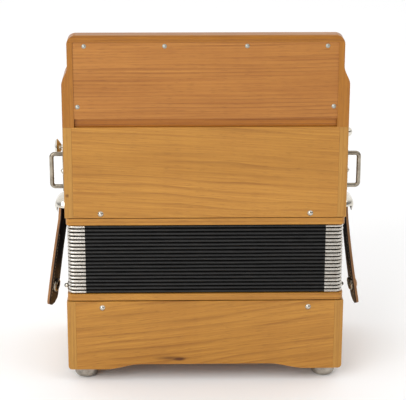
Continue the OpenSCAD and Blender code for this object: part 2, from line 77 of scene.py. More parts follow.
def make_camera():
    """The photograph's view: from the player's side, a little to the left, looking down."""
    data = bpy.data.cameras.new("camera")
    data.sensor_width = SENSOR_MM
    data.lens = FOCAL_LENGTH_PX / IMAGE_WIDTH_PX * SENSOR_MM
    data.clip_end = 50
    camera = bpy.data.objects.new("camera", data)
    bpy.context.scene.collection.objects.link(camera)
    tilt = Matrix.Rotation(math.pi / 2 - CAMERA_PITCH, 4, "X")
    turn = Matrix.Rotation(-CAMERA_YAW, 4, "Z") @ tilt
    place = Matrix.Translation(CAMERA_PLACE)
    camera.matrix_world = place @ turn @ Matrix.Rotation(CAMERA_ROLL, 4, "Z")
    bpy.context.scene.camera = camera


def area_light(name, place, target, size, power):
    data = bpy.data.lights.new(name, "AREA")
    data.shape = "RECTANGLE"
    data.size, data.size_y = size
    data.energy = power
    light = bpy.data.objects.new(name, data)
    light.location = place
    light.rotation_euler = (Vector(target) - Vector(place)).to_track_quat("-Z", "Y").to_euler()
    bpy.context.scene.collection.objects.link(light)


def make_sky():
    """A white room, dark low down behind the viewer so that metal has contrast."""
    world = bpy.data.worlds.new("sky")
    world.use_nodes = True
    tree = world.node_tree
    coords = tree.nodes.new("ShaderNodeTexCoord")
    parts = tree.nodes.new("ShaderNodeSeparateXYZ")
    band = tree.nodes.new("ShaderNodeValToRGB")
    for _ in range(2):
        band.color_ramp.elements.new(0.5)
    for element, (at, level) in zip(band.color_ramp.elements, SKY_LEVELS):
        element.position = at
        element.color = (level, level, level, 1)
    background = tree.nodes["Background"]
    background.inputs["Strength"].default_value = SKY_STRENGTH
    tree.links.new(coords.outputs["Generated"], parts.inputs["Vector"])
    lifted = tree.nodes.new("ShaderNodeMath")
    lifted.operation = "MULTIPLY_ADD"
    lifted.inputs[1].default_value = SKY_BACK
    tree.links.new(parts.outputs["Y"], lifted.inputs[0])
    tree.links.new(parts.outputs["Z"], lifted.inputs[2])
    tree.links.new(lifted.outputs[0], band.inputs["Fac"])
    tree.links.new(band.outputs["Color"], background.inputs["Color"])
    return world


def make_stage():
    """A white floor, a pale sky and two soft boxes."""
    scene = bpy.context.scene
    scene.view_settings.view_transform = "Standard"
    scene.world = make_sky()
    area_light("key", place=(-1.6, -2.4, 1.4), target=(0, 0, 0.18), size=(2.2, 2.0), power=52)
    area_light("fill", place=(1.9, -1.6, 1.9), target=(0, 0, 0.2), size=(0.6, 1.2), power=4)
    bpy.ops.mesh.primitive_plane_add(size=16)
    floor = bpy.context.object
    floor.name = "floor"
    paint = shader("floor_paint", **{"Base Color": (0.97, 0.97, 0.97, 1), "Roughness": 0.9})
    floor.data.materials.append(paint.material)


# --- Materials --------------------------------------------------------------------------


class Shader:
    """A material with one Principled shader, and short calls to add nodes to it."""

    def __init__(self, name):
        self.material = bpy.data.materials.new(name)
        self.material.use_nodes = True
        self.tree = self.material.node_tree
        self.bsdf = self.tree.nodes["Principled BSDF"]
        self.coords = None

    def add(self, kind, sockets=(), **settings):
        """A node with its settings made, and its sockets set to values or linked."""
        made = self.tree.nodes.new("ShaderNode" + kind)
        for key, value in settings.items():
            setattr(made, key, value)
        for key, value in dict(sockets).items():
            self.plug(made, key, value)
        return made

    def plug(self, to_node, key, value):
        if isinstance(value, bpy.types.NodeSocket):
            self.tree.links.new(value, to_node.inputs[key])
        else:
            to_node.inputs[key].default_value = value

    def place(self):
        """Object coordinates, in metres."""
        if self.coords is None:
            self.coords = self.add("TexCoord").outputs["Object"]
        return self.coords

    def mapped(self, scale, location=(0, 0, 0), source=None):
        source = source or self.place()
        sockets = {"Vector": source, "Scale": scale, "Location": location}
        return self.add("Mapping", sockets).outputs["Vector"]

    def noise(self, scale, location=(0, 0, 0), detail=3.0, rough=0.5, source=None, warp=0.0):
        vector = self.mapped(scale, location, source)
        sockets = {"Vector": vector, "Scale": 1.0, "Detail": detail, "Roughness": rough,
                   "Distortion": warp}
        return self.add("TexNoise", sockets).outputs["Fac"]

    def math(self, operation, a, b=0.0, c=0.0):
        return self.add("Math", {0: a, 1: b, 2: c}, operation=operation).outputs[0]

    def dot(self, vector, direction):
        return self.add("VectorMath", {0: vector, 1: direction},
                        operation="DOT_PRODUCT").outputs["Value"]

    def remap(self, value, low, high, to_low=0.0, to_high=1.0):
        sockets = {"Value": value, "From Min": low, "From Max": high,
                   "To Min": to_low, "To Max": to_high}
        return self.add("MapRange", sockets).outputs["Result"]

    def mix(self, factor, a, b, blend="MIX"):
        made = self.add("Mix", data_type="RGBA", blend_type=blend)
        for key, value in ((0, factor), (6, a), (7, b)):
            self.plug(made, key, value)
        return made.outputs[2]

    def ramp(self, factor, stops):
        made = self.add("ValToRGB", {"Fac": factor})
        ramp = made.color_ramp
        while len(ramp.elements) < len(stops):
            ramp.elements.new(1.0)
        for element, (at, colour) in zip(ramp.elements, stops):
            element.position = at
            element.color = (*colour, 1)
        return made.outputs["Color"]

    def bump(self, height, strength, depth):
        sockets = {"Height": height, "Strength": strength, "Distance": depth}
        self.plug(self.bsdf, "Normal", self.add("Bump", sockets).outputs["Normal"])

    def set(self, **sockets):
        for key, value in sockets.items():
            self.plug(self.bsdf, key, value)
        return self


def shader(name, **sockets):
    made = Shader(name)
    made.set(**sockets)
    return made


def wood(name, grain, palette, seed, spacing=9.0, warp=5.0, rise=0.0, contrast=0.55,
         mitred=False, knots=()):
    """Lacquered wood whose grain runs along X or Z: growth lines, streaks and pores.
    spacing and warp of the growth lines are in mm, and rise is their slope. mitred turns
    the grain round at mitred corners. A knot is (x, z, half width, half height, strength)."""
    made = shader(name)
    source = grain_round_corners(made, made.place()) if mitred else made.place()
    light, mid, dark = palette
    along_x = grain == "X"
    along = made.dot(source, (1, 0, 0) if along_x else (0, 0, 1))
    across = made.dot(source, (-rise, 0.4, 1) if along_x else (1, 0.55, -rise))
    deep = made.dot(source, (0, 1, 0))
    board = made.add("CombineXYZ", {"X": along, "Y": across, "Z": deep}).outputs[0]
    shift = (seed * 3.1, seed * 1.7, seed * 2.3)

    def board_noise(x, y, z, detail=3.0, rough=0.5, turn=0.0):
        return made.noise((x, y, z), shift, detail, rough, board, turn)

    sway = made.math("SUBTRACT", board_noise(4, 13, 6, 3, 0.45), 0.5)
    swayed = made.math("MULTIPLY_ADD", sway, 2 * warp * MM, across)
    growth = made.math("FRACT", made.math("DIVIDE", swayed, spacing * MM))
    line = made.ramp(growth, ((0.0, (0, 0, 0)), (0.55, (0.08, 0.08, 0.08)),
                              (0.94, (1, 1, 1)), (1.0, (0.02, 0.02, 0.02))))
    present = made.remap(board_noise(6, 90, 20, 2), 0.40, 0.62)
    line = made.math("MULTIPLY", made.math("MULTIPLY", line, present), contrast)
    streak = board_noise(11, 620, 60, 4, 0.6)
    tone = board_noise(3, 24, 10, 3, 0.55, 0.3)
    ripple = board_noise(46, 5, 12, 2)
    blend = made.math("MULTIPLY_ADD", streak, 0.35, made.math("MULTIPLY", tone, 0.65))
    colour = made.ramp(made.remap(blend, 0.32, 0.68), ((0.0, light), (1.0, mid)))
    colour = made.mix(line, colour, (*dark, 1))
    shade = made.math("ADD", made.remap(streak, 0.3, 0.7, 1.10, 0.88),
                      made.remap(ripple, 0.3, 0.7, -0.03, 0.03))
    warm = made.math("MULTIPLY_ADD", shade, 0.7, 0.3)
    tint = made.add("CombineColor", {0: warm, 1: shade, 2: shade}).outputs[0]
    colour = made.mix(1.0, colour, tint, "MULTIPLY")
    fleck = made.remap(board_noise(90, 1700, 500, 2), 0.58, 0.72, 0.0, 0.35)
    deepest = (dark[0] * 0.45, dark[1] * 0.38, dark[2] * 0.35, 1)
    colour = made.mix(fleck, colour, deepest)
    for x, z, half_w, half_h, strength in knots:
        reach = made.add("VectorMath", {0: made.mapped(
            (1 / (half_w * MM), 0, 1 / (half_h * MM)),
            (-x / half_w, 0, -z / half_h), source)}, operation="LENGTH").outputs["Value"]
        ragged = made.math("MULTIPLY_ADD", streak, 0.9, reach)
        colour = made.mix(made.remap(ragged, 0.5, 1.6, strength, 0.0), colour, deepest)
    made.set(**{"Base Color": colour, "Coat Weight": 0.15, "Coat Roughness": 0.2,
                "Roughness": made.remap(streak, 0.3, 0.8, 0.38, 0.52),
                "Specular IOR Level": 0.3})
    height = made.math("SUBTRACT", made.math("MULTIPLY", streak, 0.6), fleck)
    made.bump(height, 0.2, 0.00015)
    return made.material


def grain_round_corners(made, source):
    """Swaps X and Y on the side rails of a mitred frame, whose mitres run at 45 degrees."""
    low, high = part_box("bass_bellows_frame")
    parts = made.add("SeparateXYZ", {"Vector": source}).outputs
    beyond_x = made.math("SUBTRACT", made.math("ABSOLUTE", parts["X"]), high.x)
    beyond_y = made.math("SUBTRACT", made.math("ABSOLUTE", parts["Y"]), high.y)
    side = made.math("GREATER_THAN", beyond_x, beyond_y)
    swapped = made.add("CombineXYZ", {"X": parts["Y"], "Y": parts["X"], "Z": parts["Z"]})
    mixed = made.add("Mix", data_type="VECTOR")
    for key, value in ((0, side), (4, source), (5, swapped.outputs[0])):
        made.plug(mixed, key, value)
    return mixed.outputs[1]


CHERRY = ((0.500, 0.228, 0.036), (0.405, 0.174, 0.022), (0.225, 0.078, 0.008))
CHERRY_PALE = ((0.475, 0.234, 0.044), (0.405, 0.190, 0.032), (0.250, 0.095, 0.012))
CHERRY_RED = ((0.465, 0.190, 0.036), (0.370, 0.138, 0.021), (0.190, 0.055, 0.006))
CHERRY_CHEEK = ((0.390, 0.152, 0.014), (0.335, 0.122, 0.009), (0.210, 0.065, 0.004))
CHERRY_DARK = ((0.420, 0.150, 0.012), (0.350, 0.115, 0.008), (0.190, 0.052, 0.003))
SPRUCE = ((0.74, 0.55, 0.30), (0.66, 0.46, 0.22), (0.50, 0.31, 0.13))


def metal(name, colour, roughness, cloud_colour, scratch=0.12):
    """Plated metal: cloudy gloss whose clouds blend to a second colour, tarnish on most metals
    and painted dark reflections on the darker nickels, and fine rubbing marks.
    """
    made = shader(name)
    cloud = made.noise((90, 90, 90), detail=4, rough=0.6)
    marks = made.noise((2600, 300, 2600), detail=2)
    made.set(**{"Metallic": 1.0,
                "Base Color": made.ramp(made.remap(cloud, 0.3, 0.75),
                                        ((0.0, colour), (1.0, cloud_colour))),
                "Roughness": made.remap(made.math("ADD", cloud, made.math(
                    "MULTIPLY", marks, scratch)), 0.3, 0.8, roughness, roughness + 0.14)})
    made.bump(marks, 0.08, 0.00005)
    return made.material


def leather(name, colour, deep, grain_scale=1500, roughness=0.42, bump=0.35):
    """Leather: pebbled grain, rubbed lighter and darker in patches."""
    made = shader(name)
    patches = made.noise((55, 55, 55), detail=4, rough=0.6)
    cells = made.add("TexVoronoi", {"Vector": made.mapped((grain_scale,) * 3), "Scale": 1.0},
                     feature="F1").outputs["Distance"]
    wrinkles = made.noise((420, 420, 420), detail=4, warp=0.6)
    made.set(**{"Base Color": made.ramp(made.remap(patches, 0.3, 0.75),
                                        ((0.0, colour), (1.0, deep))),
                "Roughness": made.remap(wrinkles, 0.3, 0.7, roughness, roughness + 0.2),
                "Specular IOR Level": 0.4})
    made.bump(made.math("ADD", cells, made.math("MULTIPLY", wrinkles, 0.8)), bump, 0.0002)
    return made.material


def book_cloth():
    """Black book cloth with a fine linen weave, worn slightly grey where it is handled."""
    made = shader("bellows_cloth")
    wear = made.noise((60, 60, 260), detail=4, rough=0.65)
    weave = made.add("TexVoronoi", {"Vector": made.mapped((1100, 1100, 1500)), "Scale": 1.0},
                     feature="F1").outputs["Distance"]
    rumple = made.noise((190, 190, 600), detail=3)
    made.set(**{"Base Color": made.ramp(made.remap(wear, 0.35, 0.75),
                                        ((0.0, (0.005, 0.005, 0.005)),
                                         (1.0, (0.012, 0.011, 0.010)))),
                "Roughness": made.remap(rumple, 0.3, 0.7, 0.38, 0.56),
                "Specular IOR Level": 0.4})
    made.bump(made.math("ADD", weave, made.math("MULTIPLY", rumple, 0.9)), 0.6, 0.0003)
    return made.material


def pearl():
    """Pearl-white button stock with soft swirls under a polished surface."""
    made = shader("pearl")
    swirl = made.noise((130, 130, 130), detail=3, warp=1.6)
    made.set(**{"Base Color": made.ramp(made.remap(swirl, 0.3, 0.7),
                                        ((0.0, (0.88, 0.86, 0.80)), (0.5, (0.78, 0.77, 0.74)),
                                         (1.0, (0.92, 0.90, 0.88)))),
                "Roughness": made.remap(swirl, 0.3, 0.7, 0.16, 0.26),
                "Coat Weight": 0.6, "Coat Roughness": 0.06,
                "Subsurface Weight": 0.08, "Subsurface Radius": (0.002, 0.002, 0.0015)})
    return made.material


def woven(name, colour, thread, pitch):
    """Plain weave: two crossed sets of threads."""
    made = shader(name)
    parts = made.add("SeparateXYZ", {"Vector": made.place()}).outputs
    turn = 2 * math.pi / pitch
    warp = made.math("SINE", made.math("MULTIPLY", parts["X"], turn))
    weft = made.math("SINE", made.math("MULTIPLY", parts["Y"], turn))
    crossing = made.remap(made.math("MULTIPLY", warp, weft), -1, 1)
    made.set(**{"Base Color": made.ramp(crossing, ((0.0, colour), (1.0, thread))),
                "Roughness": made.remap(crossing, 0, 1, 0.9, 0.7), "Sheen Weight": 0.3})
    made.bump(crossing, 0.6, 0.0002)
    return made.material


def make_materials():
    return {
        "panel_treble": wood("cherry_treble_panel", "X", CHERRY, 1.3, 9, 15, -0.06, 0.46),
        "panel_bass": wood("cherry_bass_panel", "X", CHERRY, 4.1, 8.5, 16, 0.12, 0.6,
                           knots=((-36, 25.4, 18, 2.6, 0.8), (-27, 24.2, 6.5, 2.2, 1.6))),
        "panel_front": wood("cherry_front_panel", "X", CHERRY, 9.4, 9, 16, 0.05, 0.55),
        "board": wood("cherry_side_board", "Z", CHERRY_PALE, 2.2, 4, 3, 0.01, 0.35,
                      knots=((-140, 204, 2.2, 2.2, 0.9),)),
        "cheek": wood("cherry_cheek", "Z", CHERRY_CHEEK, 2.7, 4, 1.5, 0.005, 0.5),
        "rail": wood("cherry_rail", "X", CHERRY, 3.4, 5, 3),
        # the top rail's darker CHERRY_CHEEK palette is painted shade: the shadow under the
        # rail's rounded top edge
        "top_rail": wood("cherry_top_rail_painted_shade", "X", CHERRY_CHEEK, 3.9, 4, 3, 0.0, 0.8),
        "frame": wood("cherry_frame", "X", CHERRY, 5.2, 4, 3, 0.005, 0.7, mitred=True),
        "cover": wood("cherry_cover", "X", CHERRY_RED, 6.7, 4, 5, 0.005, 0.55),
        # on the keyboard base rail this dark palette is painted shade of its recess below the
        # rear cover; the bass end plate uses it too
        "dark": wood("cherry_dark_rail", "X", CHERRY_DARK, 7.9, 4, 3, 0.0, 0.6),
        "spruce": wood("spruce", "X", SPRUCE, 8.3, 3, 1.5, 0.0, 0.5),
        "nickel": metal("nickel", (0.76, 0.73, 0.66), 0.12, (0.58, 0.53, 0.44)),
        "nickel_dull": metal("nickel_dull", (0.46, 0.46, 0.41), 0.36, (0.36, 0.36, 0.31)),
        "nickel_pin": metal("nickel_pin", (0.62, 0.58, 0.50), 0.14, (0.36, 0.32, 0.26)),
        # darker nickel with strong dark clouds: painted dark reflections on the feet
        "nickel_painted_dark_reflection": metal("nickel_painted_dark_reflection", (0.56, 0.52, 0.45), 0.14, (0.16, 0.14, 0.12)),
        # darker, browner nickel for strap loops and snap rings: partly aged plating, partly
        # painted brown reflections of wood and leather
        "nickel_aged_and_painted_reflection": metal("nickel_aged_and_painted_reflection", (0.44, 0.39, 0.31), 0.18, (0.13, 0.10, 0.07)),
        "cap_brown": metal("cap_brown", (0.46, 0.27, 0.13), 0.3, (0.30, 0.17, 0.08)),
        "corner": metal("corner_metal", (0.72, 0.69, 0.64), 0.2, (0.50, 0.46, 0.40)),
        "reed": metal("reed_plate", (0.82, 0.83, 0.84), 0.3, (0.70, 0.71, 0.73)),
        "steel": metal("steel", (0.62, 0.63, 0.65), 0.25, (0.48, 0.47, 0.46)),
        "leather_dark": leather("leather_dark", (0.024, 0.009, 0.005), (0.013, 0.005, 0.003)),
        "leather_edge": leather("leather_edge", (0.38, 0.19, 0.075), (0.22, 0.10, 0.04),
                                2600, 0.6, 0.25),
        "thread": leather("thread", (0.55, 0.46, 0.32), (0.42, 0.33, 0.20), 5200, 0.7, 0.5),
        "felt": woven("felt", (0.30, 0.05, 0.04), (0.40, 0.08, 0.06), 0.0006),
        "cloth": book_cloth(),
        "grille_cloth": woven("grille_cloth", (0.010, 0.009, 0.009), (0.045, 0.04, 0.036),
                              0.0012),
        "pearl": pearl(),
    }


# --- CAD pieces that keep their shape ---------------------------------------------------

SHARP_ANGLE = math.radians(32)
FLAT_ANGLE = math.radians(0.5)
WELD_DISTANCE = 2e-6
BEVEL_SEGMENTS = 3


def sharp_edge_group():
    """Geometry nodes that keep a piece smooth except across its sharp edges."""
    group = bpy.data.node_groups.new("smooth_by_angle", "GeometryNodeTree")
    group.is_modifier = True
    group.interface.new_socket("Geometry", in_out="INPUT", socket_type="NodeSocketGeometry")
    group.interface.new_socket("Geometry", in_out="OUTPUT", socket_type="NodeSocketGeometry")
    nodes, link = group.nodes, group.links.new
    entry, leave = nodes.new("NodeGroupInput"), nodes.new("NodeGroupOutput")
    angle = nodes.new("GeometryNodeInputMeshEdgeAngle")
    compare = nodes.new("FunctionNodeCompare")
    compare.data_type = "FLOAT"
    compare.operation = "GREATER_THAN"
    compare.inputs["B"].default_value = SHARP_ANGLE
    whole, edges = (nodes.new("GeometryNodeSetShadeSmooth") for _ in range(2))
    whole.domain = "FACE"
    edges.domain = "EDGE"
    edges.inputs["Shade Smooth"].default_value = False
    link(angle.outputs["Unsigned Angle"], compare.inputs["A"])
    link(entry.outputs[0], whole.inputs["Geometry"])
    link(whole.outputs[0], edges.inputs["Geometry"])
    link(compare.outputs["Result"], edges.inputs["Selection"])
    link(edges.outputs[0], leave.inputs[0])
    return group


def dress(node, material, edge, smooth_group):
    """Gives a CAD node its material, rounds its edges a little and smooths its curves."""
    piece = NODES[node]
    piece.data.materials.clear()
    piece.data.materials.append(material)
    weld = piece.modifiers.new("weld", "WELD")
    weld.merge_threshold = WELD_DISTANCE
    flat = piece.modifiers.new("flat", "DECIMATE")
    flat.decimate_type = "DISSOLVE"
    flat.angle_limit = FLAT_ANGLE
    smooth = piece.modifiers.new("smooth", "NODES")
    smooth.node_group = smooth_group
    if edge:
        bevel = piece.modifiers.new("edge", "BEVEL")
        bevel.width = edge
        bevel.segments = BEVEL_SEGMENTS
        bevel.limit_method = "ANGLE"
        bevel.angle_limit = SHARP_ANGLE
        bevel.use_clamp_overlap = True
        normals = piece.modifiers.new("normals", "WEIGHTED_NORMAL")
        normals.keep_sharp = True


def dress_frame(made):
    """Dresses every CAD node that is seen as it is."""
    smooth_group = sharp_edge_group()
    board_edge = 0.3 * MM
    fine_edge = 0.25 * MM
    thin_edge = 0.15 * MM
    for node, key, edge in (
        ("bass_rear_board", "panel_bass", thin_edge),
        ("bass_front_board", "panel_front", thin_edge),
        ("treble_rear_board", "panel_treble", thin_edge),
        ("treble_front_board", "panel_front", thin_edge),
        ("bass_side_boards", "board", board_edge), ("treble_side_boards", "board", board_edge),
        # the top rail's darker palette is painted shade
        ("keyboard_cheeks", "cheek", board_edge), ("keyboard_top_rail", "top_rail", board_edge),
        # the base rail's dark palette is painted shade of its recess
        ("keyboard_base_rail", "dark", 0.4 * MM), ("keyboard_rear_cover", "cover", 0.5 * MM),
        ("button_board", "rail", 0.6 * MM), ("grille", "rail", 0.6 * MM),
        ("grille_front_rail", "rail", 0.5 * MM), ("bass_bellows_frame", "frame", 0.7 * MM),
        ("treble_bellows_frame", "frame", 0.7 * MM), ("bass_end_plate", "dark", 0.4 * MM),
        ("bass_corner_posts", "spruce", 0.4 * MM), ("bass_action_board", "spruce", 0),
        ("treble_action_board", "spruce", 0), ("bass_reed_block", "spruce", 0),
        ("treble_reed_block", "spruce", 0), ("bass_reed_plates", "reed", 0),
        ("treble_reed_plates", "reed", 0), ("bass_lever_axles", "steel", 0),
        ("treble_lever_axle", "steel", 0), ("treble_key_springs", "steel", 0),
        # the feet's nickel carries painted dark reflections
        ("hand_strap_anchors", "nickel", fine_edge), ("feet", "nickel_painted_dark_reflection", fine_edge),
        ("bass_pins", "nickel_pin", 0), ("treble_pins", "nickel_pin", 0),
        ("mate_studs", "nickel", 0),
        # the strap loops' darker nickel is partly painted reflection
        ("cover_screws", "nickel_dull", 0), ("strap_loops", "nickel_aged_and_painted_reflection", 0),
        ("loop_screws", "nickel", 0), ("strap_holders", "nickel", 0.3 * MM),
        ("side_studs", "nickel", 0),
    ):
        dress(node, made[key], edge, smooth_group)


# --- Mesh tools -------------------------------------------------------------------------


def mesh_piece(name, verts, faces, materials, face_material=None, smooth_angle=40):
    """An object from points and faces, its normals facing out and its curves smoothed."""
    data = bpy.data.meshes.new(name)
    data.from_pydata([tuple(v) for v in verts], [], faces)
    for material in materials:
        data.materials.append(material)
    if face_material:
        data.polygons.foreach_set("material_index", face_material)
    tidy = bmesh.new()
    tidy.from_mesh(data)
    bmesh.ops.recalc_face_normals(tidy, faces=tidy.faces)
    tidy.to_mesh(data)
    tidy.free()
    data.polygons.foreach_set("use_smooth", [True] * len(data.polygons))
    data.set_sharp_from_angle(angle=math.radians(smooth_angle))
    piece = bpy.data.objects.new(name, data)
    bpy.context.scene.collection.objects.link(piece)
    return piece


def ring_faces(rings, count, first=0, closed=True):
    """Quads between one ring of count points and the next, for rings stored in a row."""
    steps = count if closed else count - 1
    return [(first + r * count + k, first + r * count + (k + 1) % count,
             first + (r + 1) * count + (k + 1) % count, first + (r + 1) * count + k)
            for r in range(rings - 1) for k in range(steps)]


def lathe(profile, place, segments=40):
    """Points and faces of a profile of (radius, height) turned about the local Z axis. It
    either starts and ends on the axis, or ends where it starts."""
    verts = []
    looped = profile[0] == profile[-1]
    rings = [p for p in profile[:-1 if looped else None] if p[0] > 1e-7]
    for radius, height in rings:
        for k in range(segments):
            turn = 2 * math.pi * k / segments
            verts.append(place @ Vector((radius * math.cos(turn), radius * math.sin(turn),
                                         height)))
    faces = ring_faces(len(rings), segments)
    last = (len(rings) - 1) * segments
    if looped:
        faces += [(last + k, last + (k + 1) % segments, (k + 1) % segments, k)
                  for k in range(segments)]
        return verts, faces
    for tip, start in ((profile[0], 0), (profile[-1], last)):
        verts.append(place @ Vector((0, 0, tip[1])))
        centre = len(verts) - 1
        faces += [(centre, start + k, start + (k + 1) % segments) for k in range(segments)]
    return verts, faces


def rounded(points, radius, steps=4):
    """A closed 2-D outline with each corner rounded by an arc-like curve."""
    out = []
    for k, corner in enumerate(points):
        before = Vector(points[k - 1]) - Vector(corner)
        after = Vector(points[(k + 1) % len(points)]) - Vector(corner)
        a = Vector(corner) + before.normalized() * min(radius, before.length / 2)
        b = Vector(corner) + after.normalized() * min(radius, after.length / 2)
        for s in range(steps + 1):
            t = s / steps
            out.append((1 - t) ** 2 * a + 2 * t * (1 - t) * Vector(corner) + t ** 2 * b)
    return out


def sweep(path, sections, across):
    """Points and faces of 2-D sections carried along a path. A section's first coordinate
    runs along `across`, which may be one vector for each point of the path, and its second
    along the path's normal. Both ends are capped."""
    verts = []
    count = len(sections[0])
    sides = across if isinstance(across, list) else [across] * len(path)
    for k, (point, side) in enumerate(zip(path, sides)):
        ahead = path[min(k + 1, len(path) - 1)] - point
        behind = point - path[max(k - 1, 0)]
        tangent = (ahead.normalized() + behind.normalized()).normalized()
        normal = side.cross(tangent).normalized()
        stretch = 1.0
        if ahead.length > 0 and behind.length > 0:
            stretch = 1.0 / max(0.5, tangent.dot(ahead.normalized()))
        for u, v in sections[k]:
            verts.append(point + side * u + normal * v * stretch)
    faces = ring_faces(len(path), count)
    faces.append(tuple(range(count)))
    faces.append(tuple(range(len(verts) - count, len(verts))))
    return verts, faces


def join_parts(parts):
    """Several (points, faces, material number) in one list of each."""
    verts, faces, numbers = [], [], []
    for part_verts, part_faces, number in parts:
        shift = len(verts)
        verts += part_verts
        faces += [tuple(i + shift for i in face) for face in part_faces]
        numbers += [number] * len(part_faces)
    return verts, faces, numbers


def bar(low, high, edge):
    """Points and faces of a box with bevelled edges."""
    cube = bmesh.new()
    bmesh.ops.create_cube(cube, size=1)
    size, middle = high - low, (low + high) / 2
    for v in cube.verts:
        v.co = Vector((v.co.x * size.x, v.co.y * size.y, v.co.z * size.z)) + middle
    bmesh.ops.bevel(cube, geom=list(cube.edges), offset=edge, segments=2, affect="EDGES",
                    profile=0.5)
    cube.verts.index_update()
    verts = [v.co.copy() for v in cube.verts]
    faces = [tuple(v.index for v in f.verts) for f in cube.faces]
    cube.free()
    return verts, faces


# --- Bellows ----------------------------------------------------------------------------

FOLDS = 19
FOLD_DEPTH = 6.0 * MM
BELLOWS_CORNER = 6.0 * MM
BELLOWS_WALL = 14.0 * MM
FOLD_ROUNDNESS = 2.3
FOLD_SAMPLES = (0.0, 0.03, 0.08, 0.16, 0.28, 0.42, 0.58, 0.72, 0.84, 0.92, 0.97)
CLOTH_SWELL = 0.35 * MM
CLOTH_LIFT = 0.30 * MM
CAP_LENGTH = 18.0 * MM
CAP_SHARE = 0.72
CAP_BACK = -4.6 * MM
CAP_PROUD = 0.5 * MM
CAP_SHOULDER = 0.9 * MM


def bellows_outline(half_w, half_d, radius, along_w=44, along_d=24, round_steps=5):
    """Points round the bellows seen from above, anticlockwise."""
    points = []
    for k, (sx, sy) in enumerate(((1, 1), (-1, 1), (-1, -1), (1, -1))):
        centre = Vector((sx * (half_w - radius), sy * (half_d - radius)))
        corner = [centre + radius * Vector((math.cos(a), math.sin(a)))
                  for a in (math.pi / 2 * (k + s / round_steps) for s in range(round_steps + 1))]
        points += corner
        steps = along_w if k % 2 == 0 else along_d
        nx, ny = ((-1, 1), (-1, -1), (1, -1), (1, 1))[k]
        following = Vector((nx * (half_w - radius), ny * (half_d - radius)))
        turn = math.pi / 2 * (k + 1)
        end = following + radius * Vector((math.cos(turn), math.sin(turn)))
        points += [corner[-1].lerp(end, s / steps) for s in range(1, steps)]
    return points


def fold_inset(u):
    """How deep the surface lies at u of a fold, from 0 to 1: a round back, a narrow valley."""
    return 1 - (1 - abs(2 * u - 1) ** FOLD_ROUNDNESS) ** (1 / FOLD_ROUNDNESS)


def make_bellows(made):
    """The folded cloth, closed at rest, with a wall of BELLOWS_WALL and an open middle."""
    low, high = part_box("bellows")
    half_w, half_d = high.x, high.y
    outline = bellows_outline(half_w, half_d, BELLOWS_CORNER)
    pitch = (high.z - low.z) / FOLDS
    verts, rings = [], 0
    for fold in range(FOLDS):
        for u in FOLD_SAMPLES + ((1.0,) if fold == FOLDS - 1 else ()):
            z = low.z + (fold + u) * pitch
            inset = FOLD_DEPTH * fold_inset(u)
            for p in outline:
                sway = noise.noise(Vector((p.x * 22, p.y * 22, fold * 7.3)))
                swell = CLOTH_SWELL * sway * (1 - abs(2 * u - 1))
                lift = CLOTH_LIFT * noise.noise(Vector((p.x * 15, p.y * 15, fold * 3.1 + 40)))
                lift *= math.sin(math.pi * min(1, max(0, (z - low.z) / (high.z - low.z))))
                inward = inset - swell
                verts.append(Vector((p.x * (half_w - inward) / half_w,
                                     p.y * (half_d - inward) / half_d, z + lift)))
            rings += 1
    for z in (high.z, low.z):
        for p in outline:
            verts.append(Vector((p.x * (half_w - BELLOWS_WALL) / half_w,
                                 p.y * (half_d - BELLOWS_WALL) / half_d, z)))
        rings += 1
    count = len(outline)
    faces = ring_faces(rings, count)
    last = (rings - 1) * count
    faces += [(last + k, last + (k + 1) % count, (k + 1) % count, k) for k in range(count)]
    piece = mesh_piece("bellows_folds", verts, faces, [made["cloth"]], smooth_angle=60)
    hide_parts("bellows")
    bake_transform(piece)


def cap_parts(half_w, half_d, z, height):
    """The four metal corners of one fold."""
    half = height / 2
    section = [(CAP_BACK, -half * 0.55), (-CAP_SHOULDER, -half)]
    section += [(-CAP_SHOULDER + (CAP_PROUD + CAP_SHOULDER) * math.cos(a), half * math.sin(a))
                for a in (math.radians(d) for d in range(-75, 76, 15))]
    section += [(-CAP_SHOULDER, half), (CAP_BACK, half * 0.55)]
    parts = []
    for k, (sx, sy) in enumerate(((1, 1), (-1, 1), (-1, -1), (1, -1))):
        centre = Vector((sx * (half_w - BELLOWS_CORNER), sy * (half_d - BELLOWS_CORNER), z))
        frames = []
        turns = [math.pi / 2 * (k + s / 6) for s in range(7)]
        leg = CAP_LENGTH - BELLOWS_CORNER
        for s, turn in enumerate(turns):
            out = Vector((math.cos(turn), math.sin(turn), 0))
            along = Vector((-math.sin(turn), math.cos(turn), 0))
            if s == 0:
                frames.append((centre - along * leg, out))
            frames.append((centre, out))
            if s == len(turns) - 1:
                frames.append((centre + along * leg, out))
        verts = [place + out * (BELLOWS_CORNER + o) + Vector((0, 0, dz))
                 for place, out in frames for o, dz in section]
        count = len(section)
        faces = ring_faces(len(frames), count)
        faces += [tuple(range(count)), tuple(range(len(verts) - count, len(verts)))]
        parts.append((verts, faces, 0))
    return parts


def make_bellows_corners(made):
    """One piece for each fold. It doesn't stretch: all its points share one blend weight,
    because the blend runs along a line far longer than the bellows is wide."""
    low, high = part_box("bellows")
    pitch = (high.z - low.z) / FOLDS
    for fold in range(FOLDS):
        share = (fold + 0.5) / FOLDS
        z = low.z + share * (high.z - low.z)
        verts, faces, _ = join_parts(cap_parts(high.x, high.y, z, pitch * CAP_SHARE))
        piece = mesh_piece(f"bellows_corner_{fold + 1:02d}", verts, faces, [made["corner"]])
        if fold == 0:
            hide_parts("bellows_corners")
        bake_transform(piece)


# --- Leather ----------------------------------------------------------------------------

